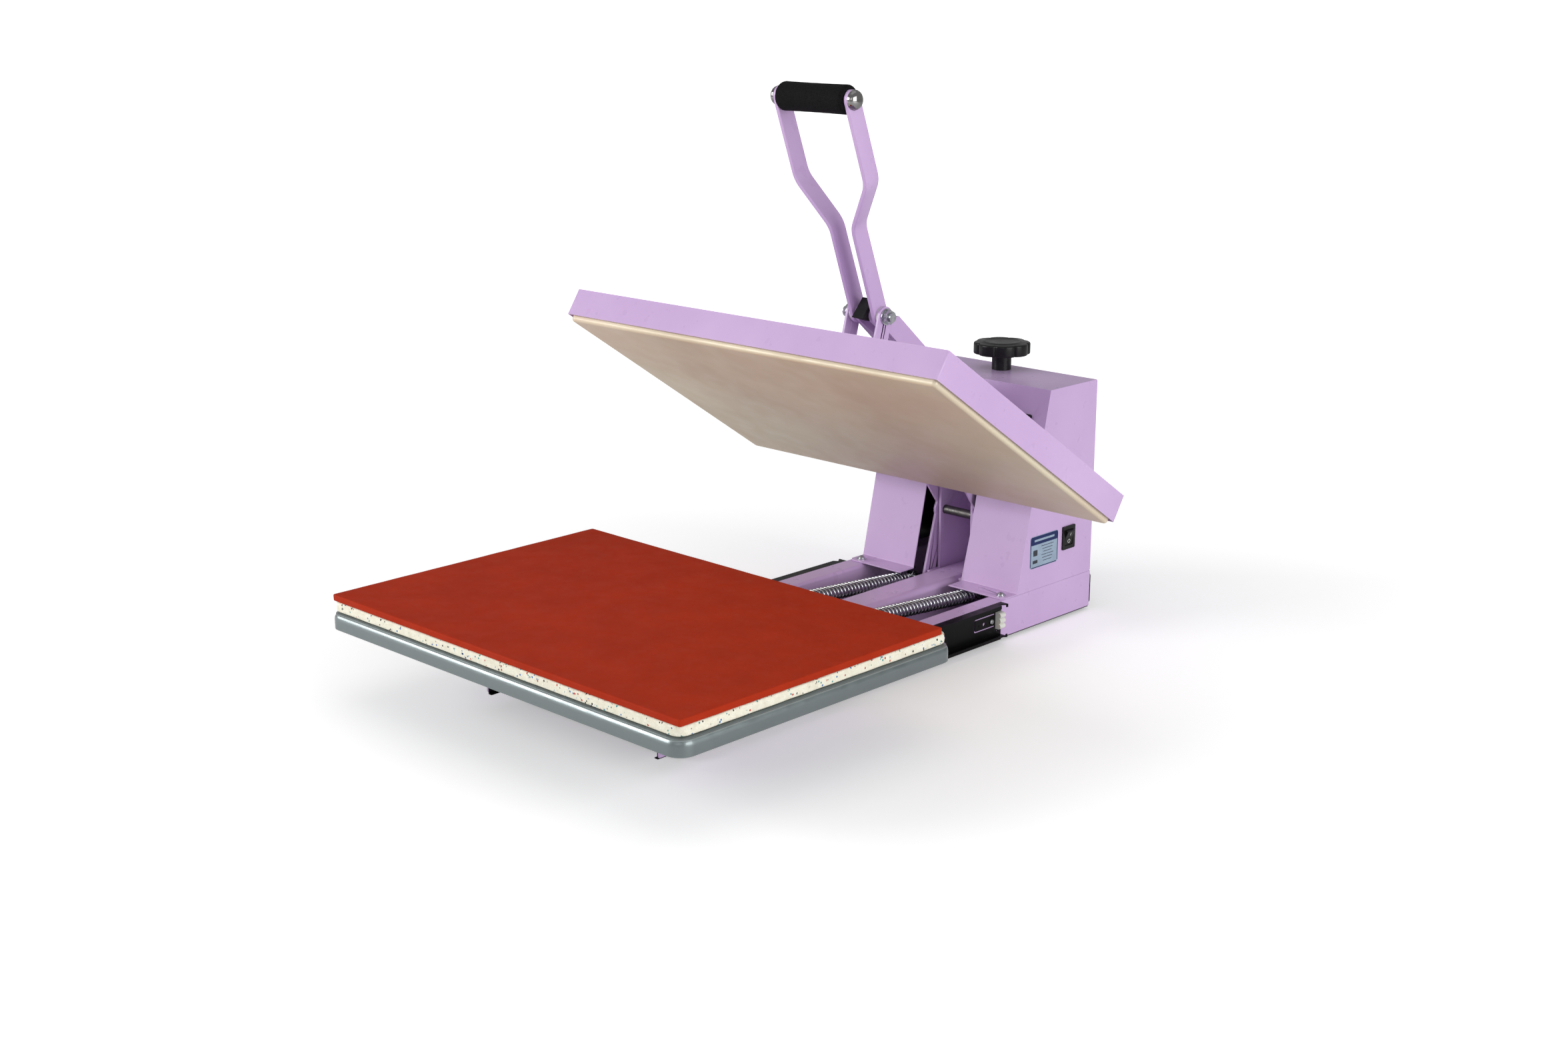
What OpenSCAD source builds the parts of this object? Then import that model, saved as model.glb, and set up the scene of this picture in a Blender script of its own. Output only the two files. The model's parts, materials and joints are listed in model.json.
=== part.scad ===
// Clamshell heat press with a pull-out lower platen, open, with the lower platen drawn to the front.
// X runs across the press, -Y is the operator's side, and Z = 0 is the table top.

/* [Base frame] */
// Height of the rubber feet
foot_h = 4; // [3:1:8]
// Thickness of the bottom sheet
floor_t = 1.5; // [1:0.5:2]
// Half width of the base frame over its side rails
base_hw = 135; // [134:0.5:135]
// Width of each side rail
rail_w = 28; // [24:1:30]
// Height of the top of the rails and the centre beam
rail_top = 55; // [54:0.5:56]
// Front end of the rails
base_front = -308; // [-320:1:-300]
// Rear end of the rails
base_rear = 459.5; // [459:0.5:460]
// Half width of the centre beam
beam_hw = 25.5; // [25:0.5:25.5]

/* [Drawer] */
// Distance that the lower platen slides in under the upper one
drawer_travel = 290; // [280:1:290]
// Width of the tray under the lower platen
tray_w = 609.6; // [600:0.1:612]
// Front edge of the tray when it is drawn out
tray_front = -462.8; // [-463:0.1:-462]
// Depth of the tray from front to rear
tray_d = 426.8; // [424:0.1:428]
// Height of the tray's lower edge
tray_z0 = 92; // [91:0.5:93]
// Height of the tray's top
tray_z1 = 113.4; // [113:0.1:114]
// Thickness of the foam layer
foam_t = 11.9; // [10:0.1:12]
// Thickness of the silicone pad
pad_t = 7.7; // [6:0.1:7.7]

/* [Upper platen] */
// Angle at which the upper platen stands open
open_deg = 33.5; // [20:0.5:33.5]
// Width of the upper platen's cover
cover_w = 613.2; // [612:0.1:615]
// Depth of the upper platen's cover
cover_d = 411.2; // [410:0.1:412]
// Height of the upper platen's cover
cover_h = 35.3; // [34:0.1:36]
// Distance from the hinge to the rear of the cover
cover_back = 100.9; // [100:0.1:102]
// Thickness of the cover sheet
cover_t = 1.6; // [1.2:0.2:2]
// Amount that the heat plate stands out below its cover
plate_proud = 6.5; // [5:0.5:6.5]

/* [Hinge and linkage] */
// Hinge axis of the upper platen, from front to rear
hinge_y = 343.5; // [343:0.5:344]
// Height of the hinge axis
hinge_z = 134; // [133.5:0.5:134.5]
// Radius of the steel shafts of the hinge and the knee joint
shaft_r = 6; // [5:0.5:6]
// Knee axis, where the handle, the arm and the links meet, from front to rear
knee_y = 153.5; // [153:0.5:154]
// Height of the knee axis
knee_z = 428.3; // [428:0.1:429]
// Rear pivot of the arm, from front to rear
block_y = 425; // [424.5:0.5:425.5]
// Height of the arm's rear pivot
block_z = 199.5; // [199:0.5:200]
// Length of the press links between their pins
link_len = 90; // [89.5:0.5:90.5]
// Slope of the press links, in degrees from level
link_deg = -105; // [-106:0.5:-104]

/* [Handle] */
// Lean of the handle towards the operator, in degrees
handle_lean = 20; // [19:0.5:21]
// Distance from the knee axis to the grip's centre
grip_s = 288; // [280:1:290]
// Radius of the foam grip
grip_r = 17.5; // [16:0.5:19]
// Width of the flat handle bars
bar_w = 24; // [22:0.5:25]
// Thickness of the flat handle bars
bar_t = 6; // [5:0.5:6]

/* [Tower housing] */
// Height of the housing's top
house_top = 320; // [318:1:322]
// Thickness of the housing's sheet
sheet_t = 2; // [1.5:0.5:2]
// Half width of the slot in the housing's front
slot_hw = 43; // [43:0.5:44]
// Radius of the pressure knob
knob_r = 38.5; // [30:0.5:40]

/* [Hidden] */
$fn = 48;

lilac = [0.78, 0.67, 0.84];
zinc = [0.75, 0.76, 0.78];
dark = [0.08, 0.08, 0.09];

run = 0.05;              // radial clearance of a running fit
gap = 0.3;               // gap between faces of parts that move past each other
rail_z0 = foot_h + floor_t;
cross_top = 36;          // top of the cross members
cap_t = 3.3;             // thickness of the rear end cap

// drawer slides
slide_z0 = 10;           // lower edge of the outer channels
slide_h = 45;
slide_x = base_hw;       // inner face of the outer channels
slide_w = 13;
slide_rear = 264;
outer_len = 350;
middle_len = 326;
inner_len = 302;
rail_screws = [-60, 20, 110, 244];
middle_y1 = slide_rear - 22 - drawer_travel / 2;
inner_y1 = slide_rear - 22 - drawer_travel;
bracket_t = 3;
bracket_z0 = 20;
tray_rear = tray_front + tray_d;

// upper platen, in its closed position and measured from the hinge
face_z = -0.7;                              // face of the heat plate
cover_z0 = face_z + plate_proud;
cover_z1 = cover_z0 + cover_h;
cover_y0 = -cover_back - cover_d;
cover_y1 = -cover_back;
bracket_x = 31.5;                           // inner face of the hinge brackets
hinge_bracket_t = 4;
lever_y = 30.9;                             // spring pin, from the hinge, closed
lever_z = -94.7;
link_pin_at = [-292.4, 55.2];                // link pin, from the hinge, closed
spring_x = 57;
spring_r = 10;

// tower
tower_x = beam_hw;                          // inner face of the tower plates
tower_t = 4;
tower_front = 333.7;
bridge_z = 288;
bridge_t = 12;
front_y0 = 298;                             // front sheet at the rails
front_y1 = 357;                             // front sheet at the top
front_lean = atan2(front_y1 - front_y0, house_top - rail_top);
slot_top = 303;
house_rear = 457.8;
cover_screw_x = 124;
cover_screw_z = [74, 300];
foot_screw = [122, 281];                    // screw in each front foot of the housing
case_x = 80;                                // middle of the controller on the sloping front
case_s = 200;

// linkage
link_pin_y = knee_y + link_len * cos(link_deg);
link_pin_z = knee_z + link_len * sin(link_deg);
eye_r = 13;
link_x = 24.3;
link_t = 4;
knee_dy = knee_y - block_y;
knee_dz = knee_z - block_z;
arm_deg = 41;
arm_hw = 13.3;
// the knee axis in the arm's own frame: along the arm, and across it
knee_a = knee_dy * cos(arm_deg) - knee_dz * sin(arm_deg);
knee_b = knee_dy * sin(arm_deg) + knee_dz * cos(arm_deg);
arm_x = 15.2;            // inner face of the arm's flat and of the handle bars
arm_eye_x = 9;

// ---------------------------------------------------------------- helpers

module both() { children(); mirror([1, 0, 0]) children(); }

// a (y, z) outline from x0 to x1
module along_x(x0, x1) { translate([x0, 0, 0]) rotate([90, 0, 90]) linear_extrude(x1 - x0) children(); }

// an (x, z) outline from y0 to y1
module along_y(y0, y1) { translate([0, y1, 0]) rotate([90, 0, 0]) linear_extrude(y1 - y0) children(); }

// a round bar across the press
module bar_x(y, z, x0, x1, r) { translate([x0, y, z]) rotate([0, 90, 0]) cylinder(r = r, h = x1 - x0); }

// a block between two corners
module block(a, b) { translate(a) cube(b - a); }

// a rectangle between two corners with round corners
module rounded(x0, y0, x1, y1, r) {
  translate([x0 + r, y0]) square([x1 - x0 - 2 * r, y1 - y0]);
  translate([x0, y0 + r]) square([x1 - x0, y1 - y0 - 2 * r]);
  for (x = [x0 + r, x1 - r], y = [y0 + r, y1 - r]) translate([x, y]) circle(r);
}

// a flat bar's outline between two points, with round ends
module strap(a, b, r) {
  t = atan2(b[1] - a[1], b[0] - a[0]);
  half_turn = [0 : 12 : 180];
  polygon(concat([for (i = half_turn) a + r * [cos(t + 90 + i), sin(t + 90 + i)]],
    [for (i = half_turn) b + r * [cos(t - 90 + i), sin(t - 90 + i)]]));
}

// a pan-head screw whose seat is at the origin and whose head points up
module pan_screw(head_r, shank_r, shank_l) {
  difference() {
    rotate_extrude() polygon([[0, -shank_l], [shank_r, -shank_l], [shank_r, 0], [head_r, 0],
      [head_r, head_r * 0.35], [head_r * 0.75, head_r * 0.62], [0, head_r * 0.7]]);
    for (a = [0, 90]) rotate(a) translate([-head_r * 0.6, -head_r * 0.11, head_r * 0.35])
      cube([head_r * 1.2, head_r * 0.22, head_r]);
  }
}

// things fixed to the upper platen, drawn closed and measured from the hinge
module at_platen() { translate([0, hinge_y, hinge_z]) rotate([-open_deg, 0, 0]) children(); }

// things fixed to the arm, drawn along Y from its rear pivot
module at_arm() { translate([0, block_y, block_z]) rotate([-arm_deg, 0, 0]) children(); }

// things fixed to the handle, drawn upwards from the knee axis
module at_handle() { translate([0, knee_y, knee_z]) rotate([handle_lean, 0, 0]) children(); }

// things on the housing's sloping front, at a height up the slope, with Z out of the sheet
module on_front(x, s) {
  translate([x, front_y0, rail_top]) rotate([-front_lean, 0, 0])
    translate([0, 0, s]) rotate([90, 0, 0]) children();
}

// ---------------------------------------------------------------- base

module rail_section() {
  x0 = base_hw - rail_w;
  module outer(o) {
    translate([x0 + o, rail_z0 + o]) square([rail_w - 2 * o, rail_top - rail_z0 - 5 - o]);
    translate([x0 + 5, rail_top - 6]) square([rail_w - 5 - o, 6 - o]);
    translate([x0 + 5, rail_top - 5]) circle(5 - o);
  }
  difference() { outer(0); outer(2); }
}

module side_rails() {
  color(lilac) both() difference() {
    along_y(base_front, base_rear) rail_section();
    for (y = rail_screws) bar_x(y, slide_z0 + slide_h / 2, base_hw - 3, base_hw + 1, 2.1);
  }
}

module centre_beam() {
  module outer(o) {
    r = 8 - o;
    translate([-beam_hw + o, rail_z0 + o]) square([2 * beam_hw - 2 * o, rail_top - rail_z0 - 8 - o]);
    translate([-beam_hw + 8, rail_top - 9]) square([2 * beam_hw - 16, 9 - o]);
    for (s = [-1, 1]) translate([s * (beam_hw - 8), rail_top - 8]) circle(r);
  }
  color(lilac) along_y(base_front, base_rear) difference() { outer(0); outer(2); }
}

module front_cross_member() {
  color(lilac) both() difference() {
    block([beam_hw, base_front + 4, rail_z0], [base_hw - rail_w, base_front + 34, cross_top]);
    block([beam_hw + 3, base_front + 2, rail_z0 + 3], [base_hw - rail_w - 3, base_front + 31, cross_top - 3]);
  }
}

module rear_cross_member() {
  x0 = tower_x + tower_t;
  color(lilac) both() difference() {
    block([x0, base_rear - 40, rail_z0], [base_hw - rail_w, base_rear, cross_top]);
    block([x0 + 3, base_rear - 37, rail_z0 + 3], [base_hw - rail_w - 3, base_rear - 3, cross_top - 3]);
  }
}

module base_plate() {
  color(dark) difference() {
    block([-base_hw + 1, base_front + 1, foot_h], [base_hw - 1, base_rear - 1, rail_z0]);
    for (x = [-66, 66], y = [-200 : 26 : 200]) translate([x, y, foot_h - 1]) cylinder(r = 4, h = 4);
  }
}

module rear_end_cap() {
  color(dark) along_y(base_rear, base_rear + cap_t)
    rounded(-base_hw + 1, rail_z0 + 2, base_hw - 1, rail_top - 4, 5);
}

module rubber_feet() {
  color(dark) both() for (y = [-270, 80, 420]) translate([108, y, 0]) {
    cylinder(r1 = 12, r2 = 13.5, h = foot_h);
  }
}

// ---------------------------------------------------------------- tower

module tower_plates() {
  color(lilac) both() along_x(tower_x, tower_x + tower_t) difference() {
    polygon([[tower_front - 22, 20], [450, 20], [450, 288], [438, 300], [378, 300],
      [tower_front, 168], [tower_front, rail_top - 2], [tower_front - 22, rail_top - 2]]);
    translate([hinge_y, hinge_z]) circle(shaft_r + 0.02);
  }
}

module screw_bridge() {
  color(zinc) difference() {
    block([-tower_x, 388, bridge_z], [tower_x, 446, bridge_z + bridge_t]);
    translate([0, block_y, bridge_z - 1]) cylinder(r = 7 + run, h = bridge_t + 2);
  }
}

module house_outline(o) {
  lean = (front_y1 - front_y0) / (house_top - rail_top);
  polygon([[front_y0 + o * sqrt(1 + lean * lean), rail_top - (o > 0 ? 1 : 0)],
    [front_y1 + o * (sqrt(1 + lean * lean) - lean), house_top - o],
    [house_rear + (o > 0 ? 1 : 0), house_top - o],
    [house_rear + (o > 0 ? 1 : 0), rail_top - (o > 0 ? 1 : 0)]]);
}

module housing_cover() {
  foot_y0 = 269;
  color(lilac) difference() {
    union() {
      difference() {
        along_x(-base_hw, base_hw) house_outline(0);
        along_x(-base_hw + sheet_t, base_hw - sheet_t) house_outline(sheet_t);
      }
      both() difference() {
        block([slot_hw, foot_y0, rail_top], [base_hw, front_y0 + 6, rail_top + sheet_t]);
        translate([foot_screw[0], foot_screw[1], rail_top - 1]) cylinder(r = 2.6, h = 4);
        translate([base_hw - 6, foot_y0, rail_top - 1]) rotate(45) translate([0, -20, 0]) cube([20, 20, 4]);
      }
      // flanges that the rear cover is screwed to
      both() difference() {
        block([base_hw - 18, house_rear - sheet_t, rail_top + 3], [base_hw - 1, house_rear, house_top - 1]);
        for (z = cover_screw_z) translate([cover_screw_x, house_rear - 3, z]) rotate([-90, 0, 0])
          cylinder(r = 2.05, h = 4);
      }
    }
    block([-slot_hw, front_y0 - 20, rail_top - 1], [slot_hw, front_y1 + 6, slot_top]);
    translate([0, block_y, house_top - 5]) cylinder(r = 11, h = 10);
    on_front(case_x, case_s) translate([-29.3, -33.3, -8]) cube([58.6, 66.6, 16]);
    block([base_hw - 5, 394.2, 99.7], [base_hw + 5, 416.8, 127.3]);
  }
}

module rear_cover() {
  y0 = house_rear + 0.4;
  color(lilac) difference() {
    along_y(y0, y0 + 1.6) rounded(-base_hw + 0.6, rail_top + 0.6, base_hw - 0.6, house_top - 0.6, 2);
    block([58.8, y0 - 1, 86.8], [87.2, y0 + 3, 113.2]);
    for (x = [-60, 20], z = [150 : 9 : 258]) block([x, y0 - 1, z], [x + 40, y0 + 3, z + 3]);
    for (x = cover_screw_x * [-1, 1], z = cover_screw_z) translate([x, y0 - 2, z]) rotate([-90, 0, 0])
      cylinder(r = 2.05, h = 5);
  }
}

module main_shaft() {
  color(zinc) bar_x(hinge_y, hinge_z, -41.5, 41.5, shaft_r);
}

module shaft_nuts() {
  color(zinc) both() difference() {
    translate([36, hinge_y, hinge_z]) rotate([0, 90, 0]) union() {
      cylinder(r = 10, h = 1.2);
      translate([0, 0, 1.2]) cylinder(r = 9, h = 4, $fn = 6);
    }
    bar_x(hinge_y, hinge_z, 35, 43, shaft_r + 0.02);
  }
}

// ---------------------------------------------------------------- drawer slides

module slide_outers() {
  z0 = slide_z0;
  z1 = slide_z0 + slide_h;
  zc = (z0 + z1) / 2;
  x0 = slide_x;
  x1 = slide_x + slide_w - gap;
  color(dark) both() difference() {
    along_y(slide_rear - outer_len, slide_rear) {
      translate([x0, z0]) square([1.4, slide_h]);
      for (z = [z0, z1 - 1.4]) translate([x0, z]) square([x1 - x0, 1.4]);
      translate([x1 - 1.2, z0]) square([1.2, 4.2]);
      translate([x1 - 1.2, z1 - 4.2]) square([1.2, 4.2]);
    }
    for (y = rail_screws) bar_x(y, zc, x0 - 1, x0 + 3, 2.1);
    for (y = [-35, 60, 150, 229]) bar_x(y, zc, x0 - 1, x0 + 3, 2.4);
    bar_x(218, zc, x0 - 1, x0 + 3, 1);
    bar_x(256, z0 + 8, x0 - 1, x0 + 3, 1.3);
    // the tongue that holds the slide is cut on three sides
    along_x(x0 - 1, x0 + 3) difference() {
      rounded(209, zc - 8, 254, zc + 10, 3);
      rounded(210.8, zc - 6.2, 252.2, zc + 8.2, 1.6);
      translate([251, zc - 9]) square([4, 20]);
    }
    for (z = [z0 - 1, z1 - 5]) translate([x0 + 7, slide_rear - 9, z]) rotate(-38) cube([20, 20, 7]);
  }
}

// a back plate with three ribs along the slide
module slide_bumpers() {
  zc = slide_z0 + slide_h / 2;
  x0 = slide_x + 1.4;
  color([0.9, 0.9, 0.9]) both() along_y(slide_rear - 12, slide_rear - 1.5) {
    translate([x0, zc - 11]) square([5, 22]);
    for (i = [-1 : 1]) translate([x0 + 5.2, zc + i * 7.2]) circle(3.7);
  }
}

module slide_screws() {
  color(zinc) both() for (y = rail_screws)
    translate([slide_x + 1.4, y, slide_z0 + slide_h / 2]) rotate([0, 90, 0]) pan_screw(3.4, 2, 3.3);
}

module slide_middles() {
  z0 = slide_z0 + 4;
  z1 = slide_z0 + slide_h - 4;
  x0 = slide_x + 5;
  color(dark) both() difference() {
    along_y(middle_y1 - middle_len, middle_y1) {
      translate([x0, z0]) square([1.3, z1 - z0]);
      for (z = [z0, z1 - 1.3]) translate([x0 - 2, z]) square([8, 1.3]);
    }
    for (y = [middle_y1 - 300 : 50 : middle_y1 - 20]) bar_x(y, (z0 + z1) / 2, x0 - 1, x0 + 3, 3);
  }
}

module ball_cages() {
  z0 = slide_z0 + 4;
  z1 = slide_z0 + slide_h - 4;
  x0 = slide_x + 5;
  color(zinc) both() {
    for (z = [z0 - 1.8, z1]) block([x0 - 1, middle_y1 - 300, z], [x0 + 5, middle_y1 - 146, z + 1.8]);
    for (z = [z0 + 1.3, z1 - 3.1]) block([x0 + 2, middle_y1 - 300, z], [x0 + 5.6, middle_y1 - 180, z + 1.8]);
  }
}

module slide_inners() {
  z0 = slide_z0 + 7.6;
  z1 = slide_z0 + slide_h - 7.6;
  x1 = slide_x + slide_w;
  color(dark) both() difference() {
    along_y(inner_y1 - inner_len, inner_y1) {
      translate([x1 - 1.3, z0]) square([1.3, z1 - z0]);
      for (z = [z0, z1 - 1.3]) translate([x1 - 5.6, z]) square([5.6, 1.3]);
    }
    for (i = [0 : 3]) bar_x(inner_y1 - 24 - i * 84, slide_z0 + slide_h / 2, x1 - 3, x1 + 1, 2.1);
  }
}

module drawer_brackets() {
  x0 = slide_x + slide_w;
  y0 = inner_y1 - inner_len;
  color(lilac) both() difference() {
    union() {
      along_x(x0, x0 + bracket_t) polygon([[y0, bracket_z0], [inner_y1, bracket_z0],
        [tray_rear, bracket_z0 + 22], [tray_rear, tray_z0], [y0, tray_z0]]);
      block([x0, y0, tray_z0 - bracket_t], [x0 + 34, tray_rear, tray_z0]);
    }
    for (i = [0 : 3]) bar_x(inner_y1 - 24 - i * 84, slide_z0 + slide_h / 2, x0 - 1, x0 + 5, 2.1);
    for (i = [0 : 2]) translate([x0 + 20, y0 + 40 + i * 110, tray_z0 - 5]) cylinder(r = 2.6, h = 7);
  }
}

module bracket_screws() {
  x0 = slide_x + slide_w;
  y0 = inner_y1 - inner_len;
  color(zinc) both() {
    for (i = [0 : 3]) translate([x0 + bracket_t, inner_y1 - 24 - i * 84, slide_z0 + slide_h / 2])
      rotate([0, 90, 0]) pan_screw(3.6, 2, 4.2);
    for (i = [0 : 2]) translate([x0 + 20, y0 + 40 + i * 110, tray_z0 - bracket_t])
      rotate([180, 0, 0]) pan_screw(4.2, 2.5, 3);
  }
}

module drawer_tray() {
  y1 = tray_rear;
  hw = tray_w / 2;
  rb = 10;
  module skirt(o, z0, z1) {
    translate([0, 0, z0]) linear_extrude(z1 - z0) rounded(-hw + o, tray_front + o, hw - o, y1 - o, 20 - o);
  }
  // rings that step round the top edge
  steps = 6;
  color([0.42, 0.47, 0.5]) difference() {
    union() {
      skirt(0, tray_z0, tray_z1 - rb);
      for (i = [1 : steps]) {
        a = 90 * i / steps;
        a0 = 90 * (i - 1) / steps;
        skirt(rb * (1 - cos((a + a0) / 2)), tray_z1 - rb, tray_z1 - rb + rb * sin(a));
      }
    }
    skirt(2, tray_z0 - 1, tray_z1 - 3);
  }
  color([0.42, 0.47, 0.5]) both()
    block([slide_x + slide_w, tray_front + 60, tray_z0], [slide_x + slide_w + 34, y1 - 2, tray_z1 - 3]);
}

module foam_pad() {
  color([0.95, 0.94, 0.88]) translate([0, 0, tray_z1]) linear_extrude(foam_t)
    rounded(-301, tray_front + 3.8, 301, tray_rear - 6.2, 14);
}

module silicone_pad() {
  color([0.66, 0.2, 0.11]) translate([0, 0, tray_z1 + foam_t]) linear_extrude(pad_t)
    rounded(-300, tray_front + 4.8, 300, tray_front + 409.8, 3);
}

// ---------------------------------------------------------------- upper platen

module platen_cover() {
  hw = cover_w / 2;
  color(lilac) at_platen() difference() {
    translate([0, 0, cover_z0]) linear_extrude(cover_h) rounded(-hw, cover_y0, hw, cover_y1, 2.5);
    translate([0, 0, cover_z0 - 1]) linear_extrude(cover_h + 1 - cover_t)
      rounded(-hw + cover_t, cover_y0 + cover_t, hw - cover_t, cover_y1 - cover_t, 1);
    // slots that the lower ends of the links dip into
    both() block([link_x - 1.5, link_pin_at[0] - 26, cover_z1 - 5],
      [link_x + link_t + 1.5, link_pin_at[0] + 26, cover_z1 + 1]);
  }
}

module heat_plate() {
  hw = cover_w / 2 - 4.2;
  color([0.85, 0.83, 0.76]) at_platen() {
    translate([0, 0, face_z]) linear_extrude(1.5)
      rounded(-hw + 1.6, cover_y0 + 6.4, hw - 1.6, cover_y1 - 6.4, 4);
    translate([0, 0, face_z + 1.5]) linear_extrude(11.5)
      rounded(-hw, cover_y0 + 4.8, hw, cover_y1 - 4.8, 5);
  }
}

module heating_element() {
  rod = 3.5;
  z = face_z + 13 + rod;
  turns = 7;
  pitch = 54;
  color(zinc) at_platen() {
    for (i = [0 : turns]) translate([-270, cover_y0 + 18 + i * pitch, z]) rotate([0, 90, 0])
      cylinder(r = rod, h = 540);
    for (i = [0 : turns - 1]) translate([i % 2 == 0 ? 270 : -270, cover_y0 + 18 + (i + 0.5) * pitch, z])
      rotate(i % 2 == 0 ? -90 : 90) rotate_extrude(angle = 180) translate([pitch / 2, 0]) circle(rod);
  }
}

module insulation_board() {
  hw = cover_w / 2 - 6;
  color([0.9, 0.9, 0.86]) at_platen() translate([0, 0, face_z + 20.5]) linear_extrude(14)
    rounded(-hw, cover_y0 + 7, hw, cover_y1 - 7, 3);
}

module thermal_sensor() {
  color(zinc) at_platen() {
    translate([36, cover_y0 + 18 + 3.5 * 54, face_z + 13]) cylinder(r = 7, h = 6);
    translate([-36, cover_y0 + 18 + 3.5 * 54, face_z + 13]) cylinder(r = 5, h = 7);
  }
}

module hinge_brackets() {
  color(lilac) at_platen() both() {
    along_x(bracket_x, bracket_x + hinge_bracket_t) difference() {
      union() {
        polygon([[-318, cover_z1], [-318, cover_z1 + 18], [-306, cover_z1 + 27], [-278, cover_z1 + 27],
          [-120, cover_z1 + 27], [7, 12], [13, 4], [12, -6], [-12, -6], [-15, 3.8], [cover_y1, 35.6],
          [cover_y1, cover_z1]]);
        circle(14);
        strap([0, 0], [lever_y, lever_z], 11);
      }
      circle(shaft_r + run);
      translate([lever_y, lever_z]) circle(5.02);
      translate(link_pin_at) circle(5.02);
    }
    difference() {
      block([bracket_x, -318, cover_z1], [bracket_x + 26, cover_y1 - 3, cover_z1 + 3]);
      for (y = [-300, -210, -120]) translate([bracket_x + 15, y, cover_z1 - 1]) cylinder(r = 3, h = 5);
    }
  }
}

module spring_pins() {
  color(zinc) at_platen() both() {
    difference() {
      bar_x(lever_y, lever_z, bracket_x - 0.3, 70, 5);
      translate([spring_x, lever_y, lever_z]) rotate([0, 90, 0])
        rotate_extrude() translate([6.2, 0]) circle(2.2);
    }
    bar_x(lever_y, lever_z, bracket_x + hinge_bracket_t, bracket_x + hinge_bracket_t + 4, 8);
    bar_x(lever_y, lever_z, 70, 71.5, 7);
  }
}

module link_pin() {
  color(zinc) at_platen() translate([0, link_pin_at[0], link_pin_at[1]]) {
    bar_x(0, 0, -bracket_x - 5.5, bracket_x + 5.5, 5);
    both() bar_x(0, 0, bracket_x + 4, bracket_x + 5.5, 8);
  }
}

// ---------------------------------------------------------------- counter springs

module spring_anchor() {
  color(zinc) {
    difference() {
      bar_x(-28, 65, -66, 66, 4);
      both() translate([spring_x, -28, 65]) rotate([0, 90, 0])
        rotate_extrude() translate([5.2, 0]) circle(2.2);
    }
    both() bar_x(-28, 65, 66, 67.5, 6);
    difference() {
      along_x(-20, 20) rounded(-44, rail_top, -12, 73, 4);
      along_x(-15, 15) translate([-50, rail_top + 4]) square([50, 30]);
      bar_x(-28, 65, -21, 21, 3.9);
    }
  }
}

module counter_springs() {
  a = [-28, 65];
  pin_y = hinge_y + lever_y * cos(open_deg) + lever_z * sin(open_deg);
  pin_z = hinge_z - lever_y * sin(open_deg) + lever_z * cos(open_deg);
  d = [pin_y, pin_z] - a;
  len = norm(d);
  fall = atan2(-d[1], d[0]);
  color(zinc) both() translate([spring_x, a[0], a[1]]) rotate([-fall, 0, 0]) {
    translate([0, 16, 0]) rotate([-90, 0, 0]) difference() {
      cylinder(r = spring_r, h = len - 33);
      translate([0, 0, -1]) cylinder(r = spring_r - 3, h = len - 31);
    }
    // end loops
    for (e = [[0, 5.8], [len, 6.8]]) translate([0, e[0], 0]) rotate([0, 90, 0])
      rotate_extrude() translate([e[1], 0]) circle(1.5);
    translate([0, 6, -1.2]) cube([1.6, 12, 2.4]);
    translate([0, len - 19, -1.2]) cube([1.6, 13, 2.4]);
  }
}

// ---------------------------------------------------------------- controller and switch

module controller_case() {
  color(dark) on_front(case_x, case_s) difference() {
    union() {
      linear_extrude(4) rounded(-32, -36, 32, 36, 3);
      translate([-29, -33, -52]) cube([58, 66, 53]);
    }
    translate([-25, -2, 2.8]) cube([50, 30, 3]);
    for (i = [-1.5 : 1.5]) translate([i * 13, -18, -6]) linear_extrude(12) rounded(-4.3, -4.3, 4.3, 4.3, 1.3);
  }
}

module controller_display() {
  color([0.15, 0.02, 0.02]) on_front(case_x, case_s) translate([-25, -2, 2.8]) cube([50, 30, 0.9]);
}

// one push button of the controller, numbered from the left
module controller_key(i) {
  color([0.35, 0.36, 0.38]) on_front(case_x, case_s) translate([(i - 1.5) * 13, -18, -4]) {
    linear_extrude(9.4) rounded(-4, -4, 4, 4, 1.1);
    linear_extrude(10) rounded(-3.4, -3.4, 3.4, 3.4, 0.8);
  }
}
module key_menu() { controller_key(0); }
module key_down() { controller_key(1); }
module key_up() { controller_key(2); }
module key_start() { controller_key(3); }

module rocker_frame() {
  color(dark) difference() {
    union() {
      along_x(base_hw, base_hw + 2) rounded(392, 97.5, 419, 129.5, 1.5);
      block([base_hw - 22, 394.4, 99.9], [base_hw + 0.5, 416.6, 127.1]);
    }
    block([base_hw - 18, 397.2, 102.6], [base_hw + 3, 413.8, 124.4]);
  }
}

module rocker() {
  // round about its axis, with a face bent at the middle and its upper half out
  color(dark) along_y(397.6, 413.4) translate([base_hw + 1, 113.5]) intersection() {
    circle(10.6);
    polygon([[-8, -12], [0.03, -12], [1.4, 0], [6.7, 12], [-8, 12]]);
  }
}

module power_inlet() {
  y0 = house_rear + 2;
  color(dark) difference() {
    union() {
      along_y(y0, y0 + 2.4) rounded(48, 82, 98, 118, 4);
      block([59, y0 - 24, 87], [87, y0 + 0.5, 113]);
    }
    block([61.5, y0 - 18, 90], [84.5, y0 + 4, 110]);
  }
  color(zinc) for (p = [[73, 105], [66, 96], [80, 96]])
    block([p[0] - 1, y0 - 19, p[1] - 2.5], [p[0] + 1, y0 - 4, p[1] + 2.5]);
}

module label_plate() {
  color([0.6, 0.65, 0.72]) along_x(base_hw, base_hw + 0.5) rounded(323.5, 85, 383, 128.5, 4);
}

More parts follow.
